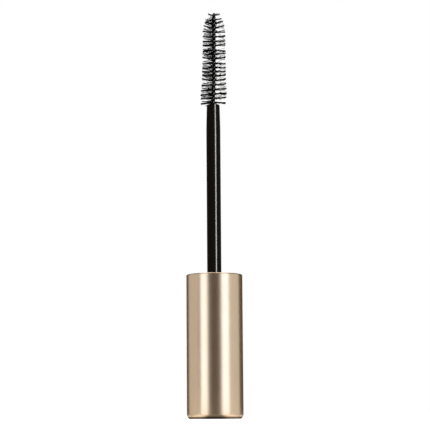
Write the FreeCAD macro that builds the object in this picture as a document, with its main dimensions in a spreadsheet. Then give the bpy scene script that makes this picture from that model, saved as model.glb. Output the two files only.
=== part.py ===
"""Mascara wand: a drawn metal cap on a moulded liner, a stem snapped in the liner, and a twisted-wire brush.

Millimetres, +Z up. The origin is the centre of the cap's flat closed end, on which the wand stands. The cap's
open end faces up, the stem rises out of it and carries the brush.
"""

import FreeCAD, Part
import Sketcher

import math
import os
import re

Vector = FreeCAD.Vector

# The driving dimensions. Every other size and place is worked out from these.
SIZES = {
    # cap shell
    "shell_radius": 8.25,
    "shell_height": 42.0,
    "shell_wall": 0.45,
    "shell_edge_radius": 1.1,
    "lip_radius": 0.3,
    "lip_chamfer": 0.08,
    "edge_share": 0.45,  # most of a wall's thickness that a broken edge takes
    "round_share": 0.65,  # most of a wall's thickness that a rounded edge takes
    # liner pressed in the shell
    "liner_recess": 0.5,
    "liner_clearance": 0.15,
    "liner_wall": 1.0,
    "liner_lead_in": 0.4,
    "foot_share": 0.8,  # most of the liner's thickness that its foot's chamfer takes
    "socket_depth": 13.0,
    "deck_thickness": 1.4,
    "hub_radius": 4.0,
    "hub_length": 6.0,
    "web_thickness": 0.8,
    "web_count": 4,
    "crush_rib_width": 0.8,
    "crush_rib_clearance": 0.03,
    "crush_rib_count": 8,
    # washer on the liner's deck
    "seal_thickness": 1.0,
    "seal_clearance": 0.15,
    # stem
    "plug_radius": 2.4,
    "plug_clearance": 0.03,
    "barb_overhang": 0.35,
    "barb_length": 1.6,
    "barb_clearance": 0.05,
    "plug_slot_width": 0.9,
    "plug_slot_depth": 4.0,
    "flange_radius": 3.4,
    "flange_thickness": 0.9,
    "stem_radius": 2.1,
    "stem_nose_radius": 1.93,
    "stem_nose_length": 7.4,
    "stem_nose_chamfer": 0.15,
    "stem_tip_height": 92.9,
    "wire_hole_depth": 6.0,
    "wire_hole_clearance": 0.03,
    # twisted wire
    "wire_radius": 0.24,
    "wire_gap": 0.12,
    "twist_pitch": 2.68,
    "wire_sides": 6,
    "wire_steps_per_turn": 12,
    # bristles
    "filament_width": 0.08,
    "filaments_per_row": 12,
    "row_count": 21,
    "crown_filaments": 8,
    "brush_clearance": 0.06,
    "first_row_rise": 0.75,
    "trim_base_radius": 3.6,
    "trim_belly_radius": 3.9,
    "trim_waist_radius": 3.55,
    "trim_shoulder_radius": 3.35,
    "trim_tip_radius": 1.75,
    "belly_rise": 3.4,
    "waist_rise": 7.5,
    "nose_length": 5.6,
    "nose_power": 1.3,
}

# Sizes and heights that follow from the driving ones. A later line may use the lines before it.
PLACES = {
    "shell_bore": "shell_radius - shell_wall",
    "shell_inner_edge": "max(shell_edge_radius - shell_wall; 0.05)",
    "lip_edge": "min(lip_chamfer; (1 - round_share) / 2 * shell_wall)",
    "lip_round": "min(lip_radius; round_share * shell_wall)",
    "liner_radius": "shell_bore - liner_clearance",
    "socket_radius": "liner_radius - liner_wall",
    "liner_top": "shell_height - liner_recess",
    "liner_chamfer": "min(liner_lead_in; edge_share * liner_wall)",
    "foot_chamfer": "min(shell_inner_edge; foot_share * liner_wall)",
    "deck_top": "liner_top - socket_depth",
    "deck_bottom": "deck_top - deck_thickness",
    "hub_bottom": "deck_bottom - hub_length",
    "hub_bore": "plug_radius + plug_clearance",
    "crush_rib_reach": "shell_bore - crush_rib_clearance",
    "crush_rib_bottom": "shell_wall + 2 * foot_chamfer",
    "crush_rib_top": "liner_top - 2 * foot_chamfer",
    "seal_top": "deck_top + seal_thickness",
    "seal_radius": "socket_radius - seal_clearance",
    "seal_bore": "flange_radius + seal_clearance",
    "flange_top": "deck_top + flange_thickness",
    "barb_radius": "plug_radius + barb_overhang",
    "barb_top": "hub_bottom - barb_clearance",
    "plug_bottom": "barb_top - barb_length",
    "plug_slot_top": "plug_bottom + plug_slot_depth",
    "stem_shoulder_height": "stem_tip_height - stem_nose_length",
    "strand_orbit": "wire_radius + wire_gap / 2",
    "wire_hole_radius": "strand_orbit + wire_radius + wire_hole_clearance",
    "wire_hole_bottom": "stem_tip_height - wire_hole_depth",
    "wire_bottom": "wire_hole_bottom + wire_radius",
    "row_height": "twist_pitch / 2",
    "filament_step": "row_height / filaments_per_row",
    "brush_bottom": "stem_tip_height + brush_clearance + filament_width / 2",
    "brush_length": "((row_count - 1) * filaments_per_row + crown_filaments - 1) * filament_step",
    "brush_top": "brush_bottom + brush_length",
    "first_row": "stem_tip_height + first_row_rise",
    "bend_height": "brush_top + filament_width",
}

doc = FreeCAD.newDocument("MascaraWand")


def qualified(text):
    """The expression with each size and place named by the sheet that holds it."""

    def full_name(match):
        word = match.group(0)
        if word in SIZES:
            return "Sizes." + word
        return "Places." + word if word in PLACES else word

    return re.sub(r"[a-z_]+", full_name, text)


def fill_sheet(label, cells):
    """A spreadsheet with one named cell in each row."""
    sheet = doc.addObject("Spreadsheet::Sheet", label)
    for row, (name, content) in enumerate(cells.items(), start=1):
        sheet.set(f"A{row}", name)
        sheet.set(f"B{row}", content)
        sheet.setAlias(f"B{row}", name)
    doc.recompute()
    return sheet


sizes = fill_sheet("Sizes", {name: str(value) for name, value in SIZES.items()})
places = fill_sheet("Places", {})
for row, (name, formula) in enumerate(PLACES.items(), start=1):
    places.set(f"A{row}", name)
    places.set(f"B{row}", "=" + qualified(formula).replace("Places.", ""))
    places.setAlias(f"B{row}", name)
    doc.recompute()


def size(name):
    """The present value of one size or place."""
    sheet = sizes if name in SIZES else places
    return float(sheet.get(name))


def bind(thing, prop, text):
    thing.setExpression(prop, qualified(text))


def new_body(label):
    body = doc.addObject("PartDesign::Body", label)
    body.Label = label
    return body


def datum(body, role):
    """One of the body's own origin planes or axes."""
    return next(feature for feature in body.Origin.OriginFeatures if feature.Role == role)


def outline(body, label, plane, corners, height=None):
    """A sketch of straight edges through corners, each given as a pair of expressions.

    A coordinate given as None lies on the sketch's axis. The sketch lies in one of the body's origin planes,
    lifted by height where that is given.
    """
    sketch = body.newObject("Sketcher::SketchObject", label)
    sketch.AttachmentSupport = [(datum(body, plane), "")]
    sketch.MapMode = "FlatFace"
    if height:
        bind(sketch, "AttachmentOffset.Base.z", height)
    count = len(corners)
    ring = [Vector(math.cos(2 * math.pi * k / count), math.sin(2 * math.pi * k / count), 0) for k in range(count)]
    for k in range(count):
        sketch.addGeometry(Part.LineSegment(ring[k], ring[(k + 1) % count]))
    for k in range(count):
        sketch.addConstraint(Sketcher.Constraint("Coincident", k, 2, (k + 1) % count, 1))
    for k, (across, up) in enumerate(corners):
        for kind, axis, text, start in (("DistanceX", -2, across, ring[k].x), ("DistanceY", -1, up, ring[k].y)):
            if text is None:
                sketch.addConstraint(Sketcher.Constraint("PointOnObject", k, 1, axis))
                continue
            index = sketch.addConstraint(Sketcher.Constraint(kind, -1, 1, k, 1, start))
            bind(sketch, f"Constraints[{index}]", text)
    return sketch


def revolve(body, label, profile):
    """A full turn of the profile about the sketch's upright axis, which lies on the wand's axis."""
    feature = body.newObject("PartDesign::Revolution", label)
    feature.Profile = profile
    feature.ReferenceAxis = (profile, ["V_Axis"])
    feature.Angle = 360
    doc.recompute()
    return feature


def on_closed_end(edge):
    """Whether an edge is the circle round the cap's flat closed end."""
    return isinstance(edge.Curve, Part.Circle) and abs(edge.Curve.Center.z) < 1e-6


def polar_pattern(body, label, original, count):
    pattern = body.newObject("PartDesign::PolarPattern", label)
    pattern.Originals = [original]
    pattern.Axis = (datum(body, "Z_Axis"), [""])
    pattern.Angle = 360
    bind(pattern, "Occurrences", count)
    body.Tip = pattern
    doc.recompute()
    return pattern


def cap_shell():
    """Drawn metal cup, open at the top, with a rounded closed end and a lip rounded outwards in three facets."""
    body = new_body("cap_shell")
    cup = revolve(body, "ShellCup", outline(body, "ShellProfile", "XZ_Plane", [
        (None, None),
        ("shell_radius", None),
        ("shell_radius", "shell_height - lip_round"),
        ("shell_radius - lip_round * (1 - cos(30 deg))", "shell_height - lip_round * (1 - sin(30 deg))"),
        ("shell_radius - lip_round * (1 - cos(60 deg))", "shell_height - lip_round * (1 - sin(60 deg))"),
        ("shell_radius - lip_round", "shell_height"),
        ("shell_bore + lip_edge", "shell_height"),
        ("shell_bore", "shell_height - lip_edge"),
        ("shell_bore", "shell_wall + shell_inner_edge"),
        ("shell_bore - shell_inner_edge", "shell_wall"),
        (None, "shell_wall"),
    ]))
    rim = [f"Edge{k}" for k, edge in enumerate(cup.Shape.Edges, start=1) if on_closed_end(edge)]
    edge = body.newObject("PartDesign::Fillet", "ClosedEndEdge")
    edge.Base = (cup, rim)
    bind(edge, "Radius", "shell_edge_radius")
    doc.recompute()
    return body


def inner_cap():
    """Moulded liner: the screw socket above its deck, and the hub that holds the stem's plug below it."""
    body = new_body("inner_cap")
    revolve(body, "LinerWall", outline(body, "LinerProfile", "XZ_Plane", [
        ("liner_radius - foot_chamfer", "shell_wall"),
        ("liner_radius", "shell_wall + foot_chamfer"),
        ("liner_radius", "liner_top - liner_chamfer / 2"),
        ("liner_radius - liner_chamfer / 2", "liner_top"),
        ("socket_radius + liner_chamfer", "liner_top"),
        ("socket_radius", "liner_top - liner_chamfer"),
        ("socket_radius", "deck_top"),
        ("hub_bore", "deck_top"),
        ("hub_bore", "hub_bottom"),
        ("hub_radius", "hub_bottom"),
        ("hub_radius", "deck_bottom"),
        ("socket_radius", "deck_bottom"),
        ("socket_radius", "shell_wall"),
    ]))
    web = body.newObject("PartDesign::Pad", "HubWeb")
    web.Profile = outline(body, "WebPlan", "XY_Plane", [
        ("(hub_bore + hub_radius) / 2", "-web_thickness / 2"),
        ("socket_radius + liner_wall / 2", "-web_thickness / 2"),
        ("socket_radius + liner_wall / 2", "web_thickness / 2"),
        ("(hub_bore + hub_radius) / 2", "web_thickness / 2"),
    ], height="hub_bottom")
    bind(web, "Length", "hub_length + deck_thickness / 2")
    doc.recompute()
    polar_pattern(body, "HubWebs", web, "web_count")
    rib = body.newObject("PartDesign::Pad", "CrushRib")
    rib.Profile = outline(body, "RibPlan", "XY_Plane", [
        ("liner_radius - liner_wall / 2", "-crush_rib_width / 2"),
        ("crush_rib_reach", "-crush_rib_width / 2"),
        ("crush_rib_reach", "crush_rib_width / 2"),
        ("liner_radius - liner_wall / 2", "crush_rib_width / 2"),
    ], height="crush_rib_bottom")
    bind(rib, "Length", "crush_rib_top - crush_rib_bottom")
    doc.recompute()
    polar_pattern(body, "CrushRibs", rib, "crush_rib_count")
    return body


def seal_liner():
    """Foam washer on the deck, which the bottle's rim presses on."""
    body = new_body("seal_liner")
    revolve(body, "SealRing", outline(body, "SealProfile", "XZ_Plane", [
        ("seal_bore", "deck_top"),
        ("seal_radius", "deck_top"),
        ("seal_radius", "seal_top"),
        ("seal_bore", "seal_top"),
    ]))
    return body


def stem():
    """Moulded stem: a split barbed plug in the liner's hub, a flange on its deck, a long shaft and a nose."""
    body = new_body("stem")
    revolve(body, "StemTurned", outline(body, "StemProfile", "XZ_Plane", [
        (None, "plug_bottom"),
        ("plug_radius - barb_overhang", "plug_bottom"),
        ("barb_radius", "barb_top - barb_length / 2"),
        ("barb_radius", "barb_top"),
        ("plug_radius", "barb_top"),
        ("plug_radius", "deck_top"),
        ("flange_radius", "deck_top"),
        ("flange_radius", "flange_top"),
        ("stem_radius", "flange_top"),
        ("stem_radius", "stem_shoulder_height"),
        ("stem_nose_radius", "stem_tip_height - stem_nose_chamfer"),
        ("stem_nose_radius - stem_nose_chamfer", "stem_tip_height"),
        ("wire_hole_radius", "stem_tip_height"),
        ("wire_hole_radius", "wire_hole_bottom"),
        (None, "wire_hole_bottom"),
    ]))
    slot = body.newObject("PartDesign::Pocket", "PlugSlot")
    slot.Profile = outline(body, "SlotElevation", "XZ_Plane", [
        ("-plug_slot_width / 2", "plug_bottom - plug_slot_width"),
        ("plug_slot_width / 2", "plug_bottom - plug_slot_width"),
        ("plug_slot_width / 2", "plug_slot_top"),
        ("-plug_slot_width / 2", "plug_slot_top"),
    ])
    slot.Midplane = True
    slot.Type = "ThroughAll"
    doc.recompute()
    return body


def wire_path():
    """The hairpin's centre line as short straight lengths: up one leg, over the bend and down the other leg."""
    orbit = size("strand_orbit")
    low, high = size("wire_bottom"), size("bend_height")
    per_turn = int(size("wire_steps_per_turn"))
    steps = math.ceil((high - low) / size("twist_pitch") * per_turn)

    def leg_point(height, side):
        angle = math.radians(90 + side + 360 * (height - size("first_row")) / size("twist_pitch"))
        return Vector(orbit * math.cos(angle), orbit * math.sin(angle), height)

    heights = [low + (high - low) * k / steps for k in range(steps + 1)]
    rising = [leg_point(height, 0) for height in heights]
    falling = [leg_point(height, 180) for height in reversed(heights)]
    top = Vector(0, 0, high)
    bend_steps = per_turn // 2
    bend_angles = [math.pi * k / bend_steps for k in range(1, bend_steps)]
    over = [top + (rising[-1] - top) * math.cos(a) + Vector(0, 0, orbit * math.sin(a)) for a in bend_angles]
    return rising + over + falling


def mitred_bar(path, radius, sides):
    """A bar of regular section along straight lengths, mitred where they meet, so that every face is flat."""
    runs = [(after - before).normalize() for before, after in zip(path, path[1:])]
    across = runs[0].cross(Vector(0, 0, 1)).normalize()
    along = runs[0].cross(across)
    angles = [2 * math.pi * k / sides for k in range(sides)]
    rings = [[path[0] + across * (radius * math.cos(a)) + along * (radius * math.sin(a)) for a in angles]]
    for k, run in enumerate(runs, start=1):
        mitre = run + runs[k] if k < len(runs) else run
        ahead = [(path[k] - corner).dot(mitre) / run.dot(mitre) for corner in rings[-1]]
        rings.append([corner + run * distance for corner, distance in zip(rings[-1], ahead)])
    faces = [Part.Face(Part.makePolygon(ring + ring[:1])) for ring in (rings[0], rings[-1])]
    for low_ring, high_ring in zip(rings, rings[1:]):
        for k in range(sides):
            after = (k + 1) % sides
            corners = [low_ring[k], low_ring[after], high_ring[after], high_ring[k], low_ring[k]]
            faces.append(Part.Face(Part.makePolygon(corners)))
    return Part.Solid(Part.makeShell(faces))


def brush_wire():
    """One wire bent to a hairpin, its two legs twisted about each other with the bristles between them."""
    wire = doc.addObject("Part::Feature", "brush_wire")
    wire.Label = "brush_wire"
    wire.Shape = mitred_bar(wire_path(), size("wire_radius"), int(size("wire_sides")))
    return wire


def trim_radius(height):
    """How far the trimmed bristles reach from the axis at a height."""
    top = size("brush_top")
    stations = [
        (size("brush_bottom"), size("trim_base_radius")),
        (size("stem_tip_height") + size("belly_rise"), size("trim_belly_radius")),
        (size("stem_tip_height") + size("waist_rise"), size("trim_waist_radius")),
        (top - size("nose_length"), size("trim_shoulder_radius")),
    ]
    if height >= stations[-1][0]:
        share = ((height - stations[-1][0]) / size("nose_length")) ** size("nose_power")
        return size("trim_shoulder_radius") + share * (size("trim_tip_radius") - size("trim_shoulder_radius"))
    for (low, low_radius), (high, high_radius) in zip(stations, stations[1:]):
        if height <= high:
            return low_radius + (high_radius - low_radius) * (height - low) / (high - low)


def filament(height):
    """One straight nylon filament through the wire's axis, turned with the twist and cut to the trim."""
    width = size("filament_width")
    reach = trim_radius(height)
    bar = Part.makeBox(2 * reach, width, width, Vector(-reach, -width / 2, -width / 2))
    turn = 360 * (height - size("first_row")) / size("twist_pitch")
    bar.Placement = FreeCAD.Placement(Vector(0, 0, height), FreeCAD.Rotation(Vector(0, 0, 1), turn))
    return bar


def bristle_rows():
    """The filaments, one node for each half turn of the wire, which is one row as seen from a side.

    The topmost row, the crown under the wire's bend, is shorter than a half turn.
    """
    per_row = int(size("filaments_per_row"))
    last = int(size("row_count")) - 1
    rows = []
    for index in range(last + 1):
        count = int(size("crown_filaments")) if index == last else per_row
        first = size("brush_bottom") + index * size("row_height")
        label = f"bristle_row_{index + 1:02d}"
        row = doc.addObject("Part::Feature", label)
        row.Label = label
        row.Shape = Part.makeCompound([filament(first + k * size("filament_step")) for k in range(count)])
        rows.append(row)
    return rows


def check(parts):
    """Stops the build if any object of the document failed, or if a part has no sound shape."""
    for thing in doc.Objects:
        if "Invalid" in thing.State or "Error" in thing.State:
            raise RuntimeError(f"{thing.Label} failed: {thing.State}")
    for part in parts:
        if part.Shape.isNull() or not part.Shape.isValid() or not part.Shape.Solids:
            raise RuntimeError(f"{part.Label} has no sound solid")


parts = [cap_shell(), inner_cap(), seal_liner(), stem(), brush_wire(), *bristle_rows()]
doc.recompute()
check(parts)
os.makedirs("parts", exist_ok=True)
for part in parts:
    part.Shape.exportStep(os.path.join("parts", part.Label + ".step"))
    box = part.Shape.BoundBox
    print(f"{part.Label}: {len(part.Shape.Solids)} solids, z {box.ZMin:.2f} to {box.ZMax:.2f}, {part.Shape.Volume:.2f} mm3")
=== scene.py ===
import math
import random

import bpy
from mathutils import Matrix, Vector


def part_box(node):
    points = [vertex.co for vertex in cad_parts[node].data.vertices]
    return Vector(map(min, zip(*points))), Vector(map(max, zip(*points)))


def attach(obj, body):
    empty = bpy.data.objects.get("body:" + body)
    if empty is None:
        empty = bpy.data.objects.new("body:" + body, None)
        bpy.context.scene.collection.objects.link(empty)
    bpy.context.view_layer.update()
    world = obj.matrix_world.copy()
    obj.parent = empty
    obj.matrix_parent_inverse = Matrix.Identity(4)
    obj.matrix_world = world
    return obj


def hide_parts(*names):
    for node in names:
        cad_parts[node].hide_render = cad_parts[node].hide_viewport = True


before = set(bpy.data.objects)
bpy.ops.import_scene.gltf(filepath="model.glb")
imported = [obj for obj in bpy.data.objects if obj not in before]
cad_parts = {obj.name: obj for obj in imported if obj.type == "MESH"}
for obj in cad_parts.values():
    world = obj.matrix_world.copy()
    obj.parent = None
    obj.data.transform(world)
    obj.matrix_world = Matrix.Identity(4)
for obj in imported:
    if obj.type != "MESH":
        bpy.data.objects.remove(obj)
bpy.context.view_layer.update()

MM = 0.001


# ---------------------------------------------------------------- camera

LENS = 125.6                    # millimetres
SENSOR_WIDTH = 36               # millimetres
CLIP_RANGE = (0.01, 20)
AIM_HEIGHT = 59.765 * MM        # the height on the wand's axis that the camera looks at
AIM_DISTANCE = 443.7 * MM
LOOK_UP = math.radians(7.6)
ROLL = math.radians(-0.40)
SIDE_STEP = 0.325 * MM          # how far the camera stands to the right of the axis


def make_camera():
    data = bpy.data.cameras.new("camera")
    data.lens = LENS
    data.sensor_width = SENSOR_WIDTH
    data.clip_start, data.clip_end = CLIP_RANGE
    data.dof.use_dof = False
    camera = bpy.data.objects.new("camera", data)
    ahead = Vector((0, math.cos(LOOK_UP), math.sin(LOOK_UP)))
    up = Vector((0, -math.sin(LOOK_UP), math.cos(LOOK_UP)))
    place = Vector((SIDE_STEP, 0, AIM_HEIGHT)) - ahead * AIM_DISTANCE
    turn = Matrix((Vector((1, 0, 0)), up, -ahead)).transposed()
    camera.matrix_world = Matrix.Translation(place) @ turn.to_4x4() @ Matrix.Rotation(ROLL, 4, "Z")
    bpy.context.scene.collection.objects.link(camera)
    bpy.context.scene.camera = camera


# ---------------------------------------------------------------- materials

def math_node(nodes, links, operation, *values):
    """The result of a Math node, whose values are numbers or other nodes' outputs."""
    made = nodes.new("ShaderNodeMath")
    made.operation = operation
    for socket, value in zip(made.inputs, values):
        if isinstance(value, bpy.types.NodeSocket):
            links.new(value, socket)
        else:
            socket.default_value = value
    return made.outputs[0]


def seen_as_it_is(nodes, links):
    """1 for rays that see the white backdrop: the camera's, and those reflected or let through."""
    path = nodes.new("ShaderNodeLightPath")
    seen = path.outputs["Is Camera Ray"]
    for ray in ("Is Glossy Ray", "Is Transmission Ray"):
        seen = math_node(nodes, links, "MAXIMUM", seen, path.outputs[ray])
    return seen


class Finish:
    """A procedural material around one Principled shader."""

    def __init__(self, name, **sockets):
        self.material = bpy.data.materials.new(name)
        self.material.use_nodes = True
        self.nodes = self.material.node_tree.nodes
        self.links = self.material.node_tree.links
        self.shader = self.nodes["Principled BSDF"]
        for socket, value in sockets.items():
            self.shader.inputs[socket.replace("_", " ")].default_value = value
        self.place = self.node("ShaderNodeTexCoord").outputs["Object"]

    def node(self, kind, **inputs):
        made = self.nodes.new(kind)
        for name, value in inputs.items():
            socket = made.inputs[name.replace("_", " ")]
            if isinstance(value, bpy.types.NodeSocket):
                self.links.new(value, socket)
            else:
                socket.default_value = value
        return made

    def calculate(self, operation, *values):
        return math_node(self.nodes, self.links, operation, *values)

    def distance(self):
        """How far a point is from the object's origin."""
        made = self.node("ShaderNodeVectorMath", Vector=self.place)
        made.operation = "LENGTH"
        return made.outputs["Value"]

    def noise(self, scale, detail=2.0, stretch=(1, 1, 1)):
        """Noise with features about 1/scale metres across, stretched along the axes."""
        mapping = self.node("ShaderNodeMapping", Vector=self.place, Scale=stretch)
        made = self.node("ShaderNodeTexNoise", Vector=mapping.outputs[0], Scale=scale, Detail=detail)
        return made.outputs["Fac"]

    def ramp(self, factor, low, high, start=0.3, end=0.7):
        """A plain range between two numbers, or two colours, as factor goes from start to end."""
        if isinstance(low, tuple):
            made = self.node("ShaderNodeValToRGB", Fac=factor)
            stops = made.color_ramp.elements
            stops[0].position, stops[1].position = start, end
            stops[0].color, stops[1].color = (*low, 1), (*high, 1)
            return made.outputs["Color"]
        made = self.node("ShaderNodeMapRange", Value=factor, From_Min=start, From_Max=end, To_Min=low,
                         To_Max=high)
        return made.outputs[0]

    def into(self, socket, value):
        self.links.new(value, self.shader.inputs[socket])

    def bump(self, height, distance, strength=1.0, under=None):
        made = self.node("ShaderNodeBump", Height=height, Distance=distance, Strength=strength)
        if under is not None:
            self.links.new(under, made.inputs["Normal"])
        return made.outputs["Normal"]


FOOT_RADIUS = 0.6 * MM          # how softly the cap's lower edge catches the light, and its lip
LIP_RADIUS = 0.2 * MM
FOOT_ENDS = 5 * MM              # the heights between which the one goes over into the other
LIP_STARTS = 35 * MM
BEVEL_SAMPLES = 8


def champagne_metal():
    """Satin anodised aluminium: a fine blasted grain, and a tone that drifts a little."""
    finish = Finish("champagne_metal_finish", Metallic=1.0, Anisotropic=0.8)
    drift = finish.noise(120, detail=3)
    finish.into("Base Color", finish.ramp(drift, (0.60, 0.450, 0.303), (0.63, 0.474, 0.320)))
    grain = finish.noise(9000)
    finish.into("Roughness", finish.ramp(grain, 0.19, 0.215))
    height = finish.node("ShaderNodeSeparateXYZ", Vector=finish.place).outputs["Z"]
    edge_radius = finish.ramp(height, FOOT_RADIUS, LIP_RADIUS, FOOT_ENDS, LIP_STARTS)
    rounded = finish.node("ShaderNodeBevel", Radius=edge_radius)
    rounded.samples = BEVEL_SAMPLES
    finish.into("Normal", finish.bump(grain, 0.002 * MM, 0.4, under=rounded.outputs[0]))
    around = finish.node("ShaderNodeTangent")
    around.direction_type = "RADIAL"
    around.axis = "Z"
    finish.into("Tangent", around.outputs[0])
    return finish.material


def stem_plastic():
    """Glossy black moulded plastic."""
    finish = Finish("stem_plastic_finish", Specular_IOR_Level=0.5)
    tone = finish.noise(300)
    finish.into("Base Color", finish.ramp(tone, (0.0012, 0.0012, 0.0009), (0.0020, 0.0020, 0.0014)))
    finish.into("Roughness", finish.ramp(finish.noise(900, detail=4), 0.15, 0.19))
    finish.into("Normal", finish.bump(finish.noise(700), 0.002 * MM, 0.12))
    return finish.material


def liner_plastic():
    """Black polypropylene with a fine moulded texture."""
    finish = Finish("liner_plastic_finish", Specular_IOR_Level=0.45)
    grain = finish.noise(5000, detail=3)
    finish.into("Base Color", finish.ramp(grain, (0.012, 0.012, 0.012), (0.020, 0.020, 0.019)))
    finish.into("Roughness", finish.ramp(grain, 0.42, 0.55))
    finish.into("Normal", finish.bump(grain, 0.01 * MM, 0.5))
    return finish.material


def seal_foam():
    """White closed-cell foam: small rounded cells under a thin skin."""
    finish = Finish("seal_foam_finish", Roughness=0.75)
    cells = finish.node("ShaderNodeTexVoronoi", Vector=finish.place, Scale=4500.0).outputs["Distance"]
    finish.into("Base Color", finish.ramp(cells, (0.74, 0.73, 0.70), (0.84, 0.83, 0.80), 0.1, 0.6))
    finish.into("Normal", finish.bump(cells, 0.03 * MM, 0.6))
    return finish.material


def wire_steel():
    """Drawn steel wire, dark grey, with streaks along it."""
    finish = Finish("wire_steel_finish", Metallic=1.0)
    streaks = finish.noise(4000, detail=4, stretch=(1, 1, 0.25))
    finish.into("Base Color", finish.ramp(streaks, (0.07, 0.07, 0.067), (0.12, 0.12, 0.115)))
    finish.into("Roughness", finish.ramp(streaks, 0.30, 0.45))
    finish.into("Normal", finish.bump(streaks, 0.003 * MM, 0.5))
    return finish.material


def bristle_nylon():
    """Black nylon filament with a soft sheen."""
    finish = Finish("bristle_nylon_finish", Specular_IOR_Level=0.2)
    tone = finish.noise(2500)
    finish.into("Base Color", finish.ramp(tone, (0.004, 0.004, 0.004), (0.009, 0.009, 0.009)))
    finish.into("Roughness", finish.ramp(tone, 0.38, 0.5))
    finish.into("Normal", finish.bump(tone, 0.004 * MM, 0.4))
    return finish.material


# ---------------------------------------------------------------- making pieces

def new_object(name, points, faces, material):
    mesh = bpy.data.meshes.new(name)
    mesh.from_pydata(points, [], faces)
    mesh.validate()
    mesh.update()
    mesh.materials.append(material)
    made = bpy.data.objects.new(name, mesh)
    bpy.context.scene.collection.objects.link(made)
    return made


def mesh_piece(name, points, faces, material, smooth=True):
    """A piece of the wand itself."""
    piece = new_object(name, points, faces, material)
    for polygon in piece.data.polygons:
        polygon.use_smooth = smooth
    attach(piece, "root")
    return piece


def round_the_axis(radius, angle, height):
    return Vector((radius * math.cos(angle), radius * math.sin(angle), height))


def tube(path, radii, sides, points, faces):
    """Adds a closed round tube along a path to the points and faces."""
    first = len(points)
    ahead = (path[1] - path[0]).normalized()
    across = ahead.orthogonal().normalized()
    for k, centre in enumerate(path):
        before, after = path[max(k - 1, 0)], path[min(k + 1, len(path) - 1)]
        along = (after - before).normalized()
        across = (across - along * across.dot(along)).normalized()
        side = along.cross(across)
        for j in range(sides):
            angle = 2 * math.pi * j / sides
            points.append(centre + (across * math.cos(angle) + side * math.sin(angle)) * radii[k])
    for k in range(len(path) - 1):
        for j in range(sides):
            a, b = first + k * sides + j, first + k * sides + (j + 1) % sides
            faces.append((a, b, b + sides, a + sides))
    last = first + (len(path) - 1) * sides
    faces.append(tuple(first + j for j in reversed(range(sides))))
    faces.append(tuple(last + j for j in range(sides)))


# ---------------------------------------------------------------- the brush

WIRE_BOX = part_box("brush_wire")
STEM_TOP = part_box("stem")[1].z
ROW_NAMES = sorted(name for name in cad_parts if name.startswith("bristle_row_"))
ROW_BOXES = [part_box(name) for name in ROW_NAMES]
ROW_STEP = ROW_BOXES[1][0].z - ROW_BOXES[0][0].z
PITCH = 2 * ROW_STEP            # the twist's: each half turn is a row
CAD_FILAMENT = 0.08 * MM        # the width of the solids' square filaments
BRUSH_BOTTOM = ROW_BOXES[0][0].z + CAD_FILAMENT / 2
BRUSH_TOP = ROW_BOXES[-1][1].z - CAD_FILAMENT / 2
FIRST_ROW = BRUSH_BOTTOM + 0.65 * MM        # at this height a filament points along +X

STRAND_RADIUS = 0.24 * MM
STRAND_ORBIT = 0.30 * MM
STRAND_SIDES = 12
STRAND_STEPS_PER_TURN = 28
HAIRPIN_STEPS = 12
BRUSH_BEND = 0.42 * MM          # how far the wire bends aside above the stem
BEND_HEIGHT = 7.0 * MM

# How each row leans at its +X and its -X end, in degrees, from the lowest row to the crown.
LEAN_RIGHT = [-3, 3, 1, 0, 4, 4, 7, 2, 0, -4, 9, 5, -8, 8, 0, 2, 1, 14, 16, 4, 12]
LEAN_LEFT = [-5, -3, -8, -3, 1, 13, 5, 4, 0, -1, 8, 5, -7, 2, 2, 4, 11, 15, 16, -8, 14]
# Neighbouring filaments cling together towards their tips. Each clump: the shares of its row's height where
# it starts and ends, how many filaments it has, how far they close up on its middle, and how unevenly they
# lean, in degrees.
CLUMPS = [(0.00, 0.14, 5, 0.55, 3.5), (0.14, 0.28, 3, 0.60, 4.0), (0.28, 0.66, 22, 0.90, 1.6),
          (0.58, 0.74, 5, 0.80, 2.0), (0.25, 0.75, 5, 0.60, 9.0), (0.74, 0.86, 3, 0.60, 4.0),
          (0.86, 1.00, 5, 0.55, 3.5)]
CLUMP_UNEVENNESS = 1.5          # how unevenly whole clumps lean, in degrees
PLACE_IN_STEP = (0.1, 0.9)      # where in its share of the clump a filament is clamped
TRIM_UNEVENNESS = (-0.04, 0.03)
BRUSH_SEED = 11

FILAMENT_RADIUS = 0.055 * MM
FILAMENT_SIDES = 5
FILAMENT_STEPS = 7
FILAMENT_TAPER = 0.10
RISE_CURVE = 1.2                # how a filament rises to its tip's height, and turns to its tip's direction
TURN_CURVE = 0.35
CUT_LENGTH = 0.10 * MM          # the trimmed end, which the cutter leaves a little wider
CUT_WIDENING = 1.25
LOWEST_TIP = STEM_TOP + 0.3 * MM
HIGHEST_TIP = WIRE_BOX[1].z - 2 * FILAMENT_RADIUS


def bent(point):
    """Where a point of the brush goes with the slight bend of the wire above the stem."""
    rise = max(0.0, point.z - STEM_TOP)
    return point + Vector((BRUSH_BEND * (1 - math.exp(-rise / BEND_HEIGHT)), 0, 0))


def twist_angle(height):
    return 2 * math.pi * (height - FIRST_ROW) / PITCH


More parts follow.
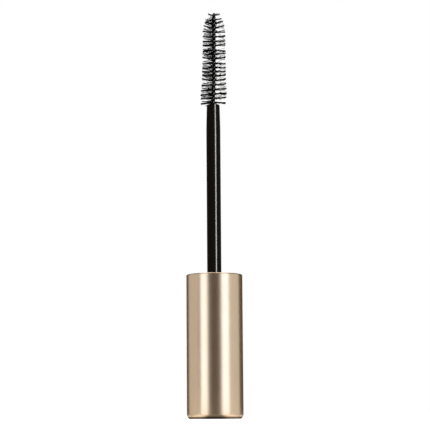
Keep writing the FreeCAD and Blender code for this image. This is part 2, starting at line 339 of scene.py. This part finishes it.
def twisted_wire(material):
    """One length of round wire, folded into a hairpin and twisted round the filaments."""
    low, high = WIRE_BOX[0].z, WIRE_BOX[1].z - STRAND_ORBIT - STRAND_RADIUS
    steps = int((high - low) / PITCH * STRAND_STEPS_PER_TURN)

    def leg_point(height, side):
        return round_the_axis(STRAND_ORBIT, twist_angle(height) + math.radians(90 + side), height)

    heights = [low + (high - low) * k / steps for k in range(steps + 1)]
    rising = [leg_point(height, 0) for height in heights]
    falling = [leg_point(height, 180) for height in reversed(heights)]
    top = Vector((0, 0, high))
    bend = [math.pi * k / HAIRPIN_STEPS for k in range(1, HAIRPIN_STEPS)]
    across, up = rising[-1] - top, Vector((0, 0, STRAND_ORBIT))
    over = [top + across * math.cos(angle) + up * math.sin(angle) for angle in bend]
    path = rising + over + falling
    points, faces = [], []
    tube(path, [STRAND_RADIUS] * len(path), STRAND_SIDES, points, faces)
    points = [bent(point) for point in points]
    wire = mesh_piece("twisted_wire", points, faces, material)
    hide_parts("brush_wire")
    return wire


def trim_radius(height):
    """How far the trimmed bristles reach at a height, from the widths of the CAD rows."""
    stations = [((low.z + high.z) / 2, high.x) for low, high in ROW_BOXES]
    if height <= stations[0][0]:
        return stations[0][1]
    for (low, low_radius), (high, high_radius) in zip(stations, stations[1:]):
        if height <= high:
            return low_radius + (high_radius - low_radius) * (height - low) / (high - low)
    below, last = stations[-2], stations[-1]
    return last[1] + (last[1] - below[1]) * (height - last[0]) / (last[0] - below[0])


def lean(index, direction):
    """The lean of a row's end that points in a direction round the axis, blended between its two sides."""
    share = (1 + math.cos(direction)) / 2
    return math.radians(LEAN_RIGHT[index] * share + LEAN_LEFT[index] * (1 - share))


def filament_half(root, tip, reach, points, faces):
    """One side of a filament, from the wire's axis to its cut end. Root and tip are (height, direction)."""
    path, radii = [], []
    for k in range(FILAMENT_STEPS + 1):
        share = k / FILAMENT_STEPS
        height = root[0] + (tip[0] - root[0]) * share ** RISE_CURVE
        direction = root[1] + (tip[1] - root[1]) * share ** TURN_CURVE
        path.append(round_the_axis(reach * share, direction, height))
        radii.append(FILAMENT_RADIUS * (1 - FILAMENT_TAPER * share))
    end = (path[-1] - path[-2]).normalized()
    path[-1:] = [path[-1] - end * CUT_LENGTH, path[-1]]
    radii[-1:] = [FILAMENT_RADIUS, FILAMENT_RADIUS * CUT_WIDENING]
    tube(path, radii, FILAMENT_SIDES, points, faces)


def filament_rows(material):
    """The nylon filaments, a piece for each half turn of the wire, which is one row as seen from a side."""
    draw = random.Random(BRUSH_SEED)
    for index, name in enumerate(ROW_NAMES):
        row_height = FIRST_ROW + index * ROW_STEP
        points, faces = [], []
        for side in (0, math.pi):
            for start, end, count, cling, unevenness in CLUMPS:
                centre = row_height + ((start + end) / 2 - 0.5) * ROW_STEP
                direction = twist_angle(centre) + side
                slope = lean(index, direction) + math.radians(draw.gauss(0, CLUMP_UNEVENNESS))
                for k in range(count):
                    share = start + (end - start) * (k + draw.uniform(*PLACE_IN_STEP)) / count
                    height = row_height + (share - 0.5) * ROW_STEP
                    if height > BRUSH_TOP:
                        continue
                    root_direction = twist_angle(height) + side
                    reach = trim_radius(height) * (1 + draw.uniform(*TRIM_UNEVENNESS))
                    tip_direction = root_direction + (direction - root_direction) * cling
                    tip_slope = slope + math.radians(draw.gauss(0, unevenness))
                    tip_height = height + (centre - height) * cling + reach * math.tan(tip_slope)
                    tip_height = max(LOWEST_TIP, min(tip_height, HIGHEST_TIP))
                    root, tip = (height, root_direction), (tip_height, tip_direction)
                    filament_half(root, tip, reach, points, faces)
        points = [bent(point) for point in points]
        row = mesh_piece(f"filaments_{index + 1:02d}", points, faces, material)
        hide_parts(name)


# ---------------------------------------------------------------- the socket's thread

THREAD_PITCH = 2.0 * MM
THREAD_ROOT = 6.65 * MM         # the radius of the liner's bore
THREAD_MARGIN = 1.1 * MM        # above the washer, and below the liner's mouth
THREAD_STEPS_PER_TURN = 72
THREAD_FADE_STEPS = 30
THREAD_END_WIDTH = 0.35         # how wide the ridge still is where it has run out, as a share
# Half of the ridge's section, in millimetres: how far out from the bore, minus being inwards, and the
# distance along the axis from the ridge's middle.
THREAD_FLANK = [(0.06, 0.62), (0.0, 0.55), (-0.52, 0.26), (-0.60, 0.16)]


def socket_thread(material):
    """The right-handed screw ridge moulded inside the liner, which runs out into the wall at both ends."""
    low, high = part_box("seal_liner")[1].z + THREAD_MARGIN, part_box("inner_cap")[1].z - THREAD_MARGIN
    steps = int((high - low) / THREAD_PITCH * THREAD_STEPS_PER_TURN)
    section = [(out, -along) for out, along in THREAD_FLANK] + THREAD_FLANK[::-1]
    points, faces = [], []
    for k in range(steps + 1):
        angle = 2 * math.pi * k / THREAD_STEPS_PER_TURN
        height = low + (high - low) * k / steps
        fade = min(1.0, k / THREAD_FADE_STEPS, (steps - k) / THREAD_FADE_STEPS)
        width = THREAD_END_WIDTH + (1 - THREAD_END_WIDTH) * fade
        for out, along in section:
            radius = THREAD_ROOT + (out * fade if out < 0 else out) * MM
            points.append(round_the_axis(radius, angle, height + along * width * MM))
    size = len(section)
    for k in range(steps):
        for j in range(size):
            a, b = k * size + j, k * size + (j + 1) % size
            faces.append((a, a + size, b + size, b))
    faces.append(tuple(range(size)))
    faces.append(tuple(steps * size + j for j in reversed(range(size))))
    mesh_piece("socket_thread", points, faces, material, smooth=False)


# ---------------------------------------------------------------- lamps

WATTS_PER_RADIANCE = 4.0        # watts for a lamp of one square metre that looks as bright as white
OVERHEAD_SIZE = 0.80
OVERHEAD_HEIGHT = 0.55
OVERHEAD_RADIANCE = 1.2
CAP_LAMP_HEIGHTS = (-0.02, 0.12)
CAP_LAMP_DISTANCE = 0.22
# The cap's lamps: name, azimuth and width in degrees, radiance and colour.
CAP_LAMPS = [("cap_left", -43.2, 30.6, 2.2, (0.69, 0.81, 1)),
             ("cap_right", 43.2, 33.4, 2.33, (0.651, 0.778, 1)),
             ("cap_flank_left", -98, 62, 0.58, (0.93, 0.965, 1)),
             ("cap_flank_right", 90, 54, 0.68, (0.88, 0.95, 1))]
STEM_LAMP = ("stem_key", 36, 12, 13.0, (1, 1, 1))
STEM_LAMP_HEIGHTS = (0.0, 0.35)
STEM_LAMP_DISTANCE = 0.28


def add_lamp(name, data, radiance, area):
    data.energy = radiance * area * WATTS_PER_RADIANCE
    made = bpy.data.objects.new(name, data)
    made.visible_camera = False
    bpy.context.scene.collection.objects.link(made)
    return made


def upright_lamp(name, azimuth, width, radiance, colour, heights, distance, receivers):
    """A rectangular lamp that faces the wand. Azimuth 0 is the camera's side, and + is to its right."""
    low, high = heights
    data = bpy.data.lights.new(name, "AREA")
    data.shape = "RECTANGLE"
    data.size = 2 * distance * math.tan(math.radians(width) / 2)
    data.size_y = high - low
    data.color = colour
    made = add_lamp(name, data, radiance, data.size * data.size_y)
    angle = math.radians(azimuth)
    made.location = (distance * math.sin(angle), -distance * math.cos(angle), (low + high) / 2)
    facing = -Vector((made.location.x, made.location.y, 0))
    made.rotation_mode = "QUATERNION"
    made.rotation_quaternion = facing.to_track_quat("-Z", "Y")
    made.light_linking.receiver_collection = receivers


def overhead_lamp():
    """A wide soft light over the set."""
    data = bpy.data.lights.new("overhead", "AREA")
    data.shape = "DISK"
    data.size = OVERHEAD_SIZE
    made = add_lamp("overhead", data, OVERHEAD_RADIANCE, math.pi * (data.size / 2) ** 2)
    made.location = (0, 0, OVERHEAD_HEIGHT)


def group(name, members):
    """A collection that a lamp can be linked to."""
    made = bpy.data.collections.new(name)
    for member in members:
        made.objects.link(member)
    return made


# ---------------------------------------------------------------- the set

WORLD_LIGHT = 0.5               # the world's strength as a light, and as a white backdrop
WORLD_WHITE = 1.0
FLOOR_HALF = 4.0
FLOOR_GLOW = (0.20, 1.0)        # how white the floor looks near the cap and away from it, at these radii
FLOOR_RADII = (12 * MM, 45 * MM)
SET_RADIUS = 0.32
SCREEN_HEIGHT = 0.50
SCREEN_GAP = math.radians(14)   # half of the opening at the back
SCREEN_STEPS = 48
CARDS_INNER = 7.0 * MM
CARDS_HEIGHT = 0.02 * MM
CARDS_STEPS = 96
CARDS_SHADOW_AND_GLOW = (0.28, 1.6)        # how strongly the cards glow: dimly under the cap's edge, a painted contact shadow for the cap's foot to reflect, and brightly beyond it
CARDS_RADII = (8.4 * MM, 9.2 * MM)
# What the cards show to the metal, as painted reflection: how bright they glow at each angle in degrees
# from the camera's side.
CARDS_TONES = [(0, 0.16), (16, 0.16), (32, 0.95), (58, 0.95), (66, 0.62), (110, 0.52), (126, 0.22),
               (150, 0.20), (166, 0.65), (180, 0.65)]
CARDS_WARMTH = (1, 0.97, 0.93)


def make_world():
    world = bpy.data.worlds.new("studio")
    bpy.context.scene.world = world
    world.use_nodes = True
    nodes, links = world.node_tree.nodes, world.node_tree.links
    nodes.clear()
    mix = nodes.new("ShaderNodeMixShader")
    links.new(seen_as_it_is(nodes, links), mix.inputs["Fac"])
    for slot, strength in ((1, WORLD_LIGHT), (2, WORLD_WHITE)):
        background = nodes.new("ShaderNodeBackground")
        background.inputs["Color"].default_value = (1, 1, 1, 1)
        background.inputs["Strength"].default_value = strength
        links.new(background.outputs[0], mix.inputs[slot])
    output = nodes.new("ShaderNodeOutputWorld")
    links.new(mix.outputs[0], output.inputs["Surface"])


def make_floor():
    """White paper that looks evenly white to the camera, but for the wand's shadow on it."""
    finish = Finish("floor_paper", Roughness=0.9, Base_Color=(0.92, 0.92, 0.92, 1),
                    Emission_Color=(1, 1, 1, 1))
    white = finish.ramp(finish.distance(), *FLOOR_GLOW, *FLOOR_RADII)
    seen = seen_as_it_is(finish.nodes, finish.links)
    finish.into("Emission Strength", finish.calculate("MULTIPLY", white, seen))
    corners = [(x * FLOOR_HALF, y * FLOOR_HALF, 0) for x, y in ((-1, -1), (1, -1), (1, 1), (-1, 1))]
    new_object("floor", corners, [(0, 1, 2, 3)], finish.material)


def dark_screen():
    """Brown cloth round the set, open at the back, which gives polished surfaces their dark parts. The
    cloth also glows a dim brown though it is no lamp: a painted reflection of warm dark surroundings.
    """
    points, faces = [], []
    for k in range(SCREEN_STEPS + 1):
        angle = SCREEN_GAP + (2 * math.pi - 2 * SCREEN_GAP) * k / SCREEN_STEPS
        x, y = SET_RADIUS * math.sin(angle), SET_RADIUS * math.cos(angle)
        points += [(x, y, 0.0), (x, y, SCREEN_HEIGHT)]
    for k in range(SCREEN_STEPS):
        faces.append((2 * k, 2 * k + 2, 2 * k + 3, 2 * k + 1))
    # The emission is painted light: a dim brown glow that the metal and the stem reflect.
    finish = Finish("glowing_brown_cloth", Roughness=1.0, Specular_IOR_Level=0.0, Emission_Strength=1.0,
                    Emission_Color=(0.115, 0.085, 0.062, 1))
    weave = finish.noise(900)
    finish.into("Base Color", finish.ramp(weave, (0.010, 0.009, 0.008), (0.014, 0.012, 0.010)))
    screen = new_object("dark_screen", points, faces, finish.material)
    screen.visible_camera = False


def painted_reflection_cards():
    """Light and dark cards laid flat round the wand, for its reflections alone: they glow though they are
    no lamp, and only glossy rays see them, so their tones are a painted reflection.
    """
    points, faces = [], []
    for k in range(CARDS_STEPS):
        angle = 2 * math.pi * k / CARDS_STEPS
        for radius in (CARDS_INNER, SET_RADIUS):
            points.append(round_the_axis(radius, angle, CARDS_HEIGHT))
        after = (k + 1) % CARDS_STEPS
        faces.append((2 * k, 2 * k + 1, 2 * after + 1, 2 * after))
    finish = Finish("painted_reflection_cards", Roughness=1.0, Specular_IOR_Level=0.0,
                    Base_Color=(0.02, 0.018, 0.016, 1))
    split = finish.node("ShaderNodeSeparateXYZ", Vector=finish.place)
    aside = finish.calculate("ABSOLUTE", split.outputs["X"])
    towards = finish.calculate("MULTIPLY", split.outputs["Y"], -1)
    share = finish.calculate("DIVIDE", finish.calculate("ARCTAN2", aside, towards), math.pi)
    ramp = finish.node("ShaderNodeValToRGB", Fac=share)
    stops = ramp.color_ramp.elements
    while len(stops) < len(CARDS_TONES):
        stops.new(0.5)
    for stop, (degrees, tone) in zip(stops, CARDS_TONES):
        stop.position = degrees / 180
        stop.color = (*(tone * part for part in CARDS_WARMTH), 1)
    # The glow by angle is a painted reflection: light and dark bands for the metal to show.
    finish.into("Emission Color", ramp.outputs["Color"])
    # Dimmer under the cap's edge: a painted contact shadow, seen only in the cap's foot.
    finish.into("Emission Strength", finish.ramp(finish.distance(), *CARDS_SHADOW_AND_GLOW, *CARDS_RADII))
    cards = new_object("painted_reflection_cards", points, faces, finish.material)
    cards.visible_camera = False
    cards.visible_diffuse = False
    cards.visible_shadow = False
    cards.visible_transmission = False


# ---------------------------------------------------------------- the whole scene

make_camera()
make_world()
make_floor()
dark_screen()
painted_reflection_cards()

FINISHES = {
    "cap_shell": champagne_metal(),
    "inner_cap": liner_plastic(),
    "seal_liner": seal_foam(),
    "stem": stem_plastic(),
}
for node_name, finish_material in FINISHES.items():
    for material_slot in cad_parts[node_name].material_slots:
        material_slot.material = finish_material

brush_core = twisted_wire(wire_steel())
filament_rows(bristle_nylon())
socket_thread(FINISHES["inner_cap"])

cap_receivers = group("cap_receivers", [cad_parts["cap_shell"]])
stem_receivers = group("stem_receivers", [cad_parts["stem"], brush_core])
overhead_lamp()
for cap_lamp in CAP_LAMPS:
    upright_lamp(*cap_lamp, CAP_LAMP_HEIGHTS, CAP_LAMP_DISTANCE, cap_receivers)
upright_lamp(*STEM_LAMP, STEM_LAMP_HEIGHTS, STEM_LAMP_DISTANCE, stem_receivers)

bpy.context.scene.view_settings.view_transform = "Standard"
